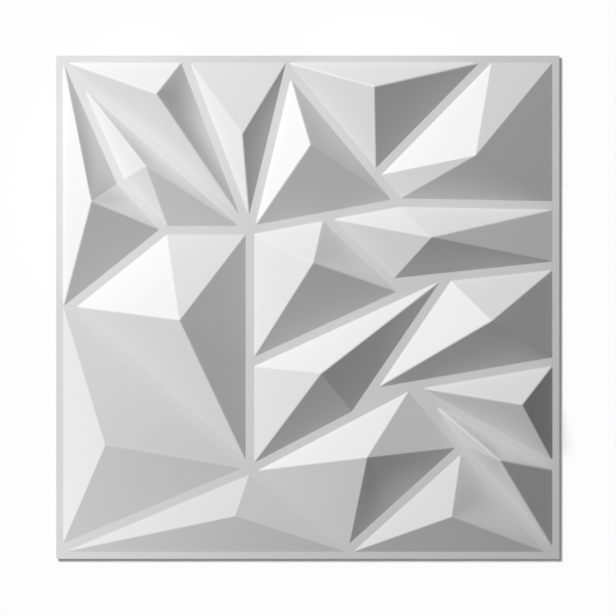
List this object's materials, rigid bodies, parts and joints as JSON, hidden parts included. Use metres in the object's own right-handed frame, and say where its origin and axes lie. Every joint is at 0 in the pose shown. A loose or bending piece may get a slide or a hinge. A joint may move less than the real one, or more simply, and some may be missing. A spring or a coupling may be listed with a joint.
{
  "type": "3d wall panel tile",
  "caption": "Square white plastic wall panel tile with a faceted relief, formed from one thin sheet with a hollow back.",
  "frame": {"origin": "centre of the tile on the plane of its back, which meets the wall", "axes": "+X along the tile's top edge to the right as seen from the room, +Y up the wall as the picture shows it, +Z out of the faceted face"},
  "size_m": [0.5, 0.5, 0.032],
  "materials": {
    "sheet": "smooth white satin plastic, the same all over, front and back"
  },
  "bodies": {
    "root": {"wall_panel": "sheet"}
  },
  "joints": []
}
